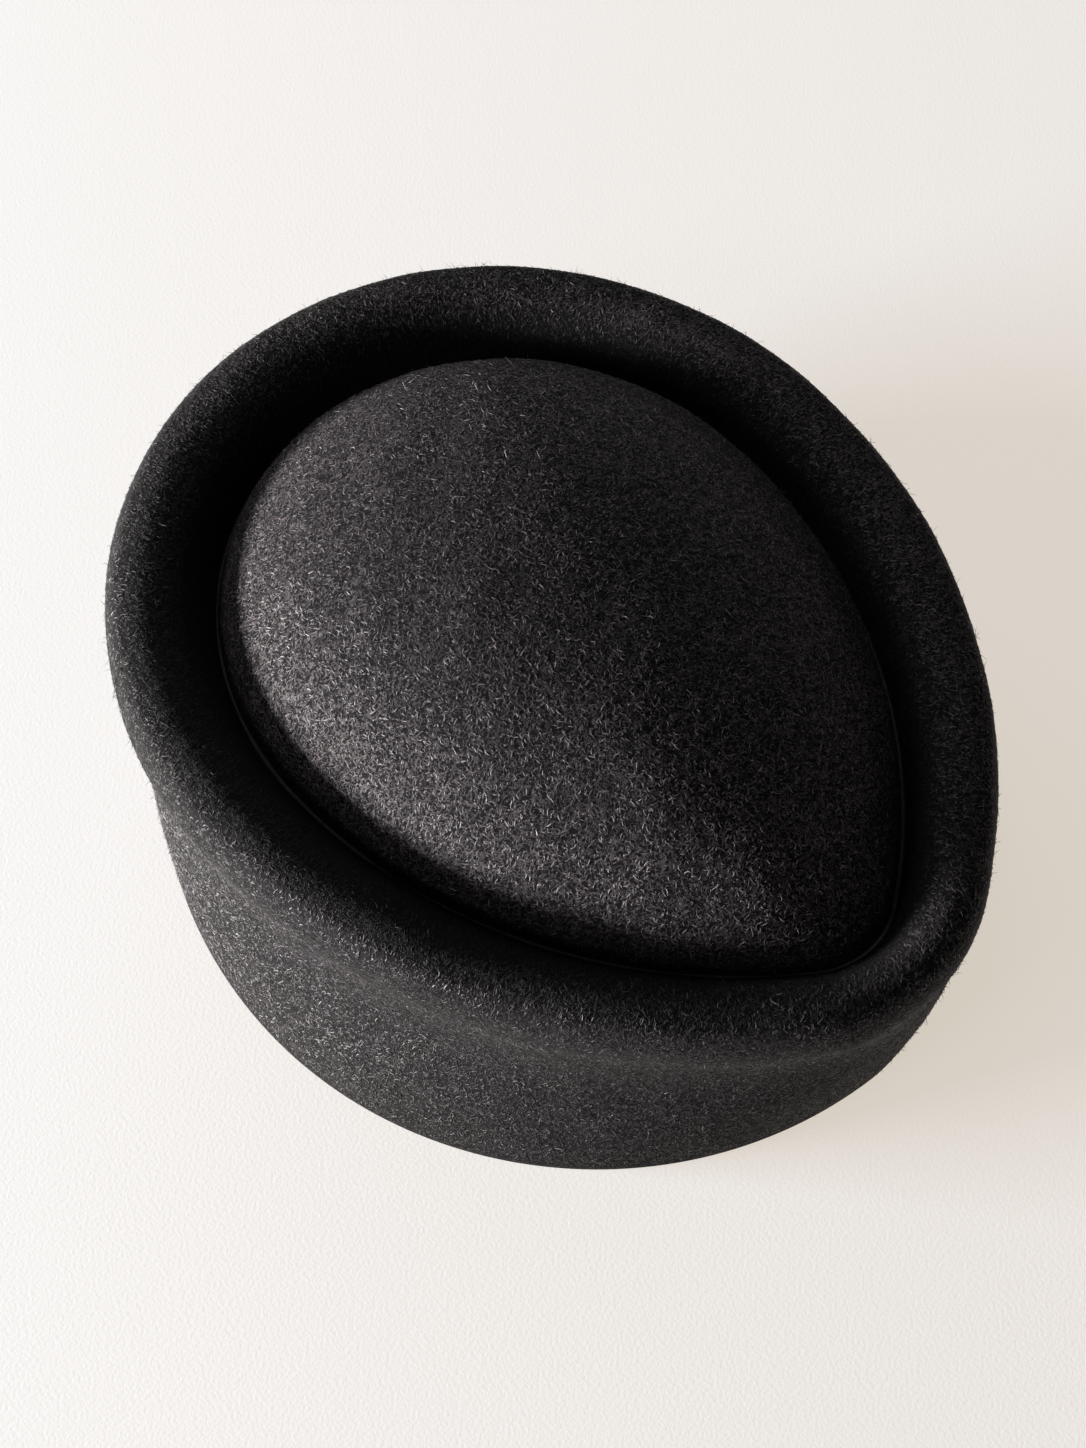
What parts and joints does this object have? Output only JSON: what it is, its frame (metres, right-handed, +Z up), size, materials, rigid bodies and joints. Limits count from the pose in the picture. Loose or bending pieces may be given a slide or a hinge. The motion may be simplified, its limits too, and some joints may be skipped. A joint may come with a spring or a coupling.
{
  "type": "pillbox hat",
  "caption": "Pillbox hat of blocked dark wool felt, hollow and open underneath, with a teardrop-shaped rounded rim, a groove inside it and a raised dome.",
  "frame": {"origin": "on the plane of the cut edge, under the middle of the hat's length and width", "axes": "+Z up, the point of the teardrop towards -Y, +X to the wearer's left when the point faces forward"},
  "size_m": [0.1788, 0.2048, 0.0718],
  "materials": {
    "felt": "matte wool felt with a short lifted nap"
  },
  "bodies": {
    "root": {"felt_body": "felt"}
  },
  "joints": []
}
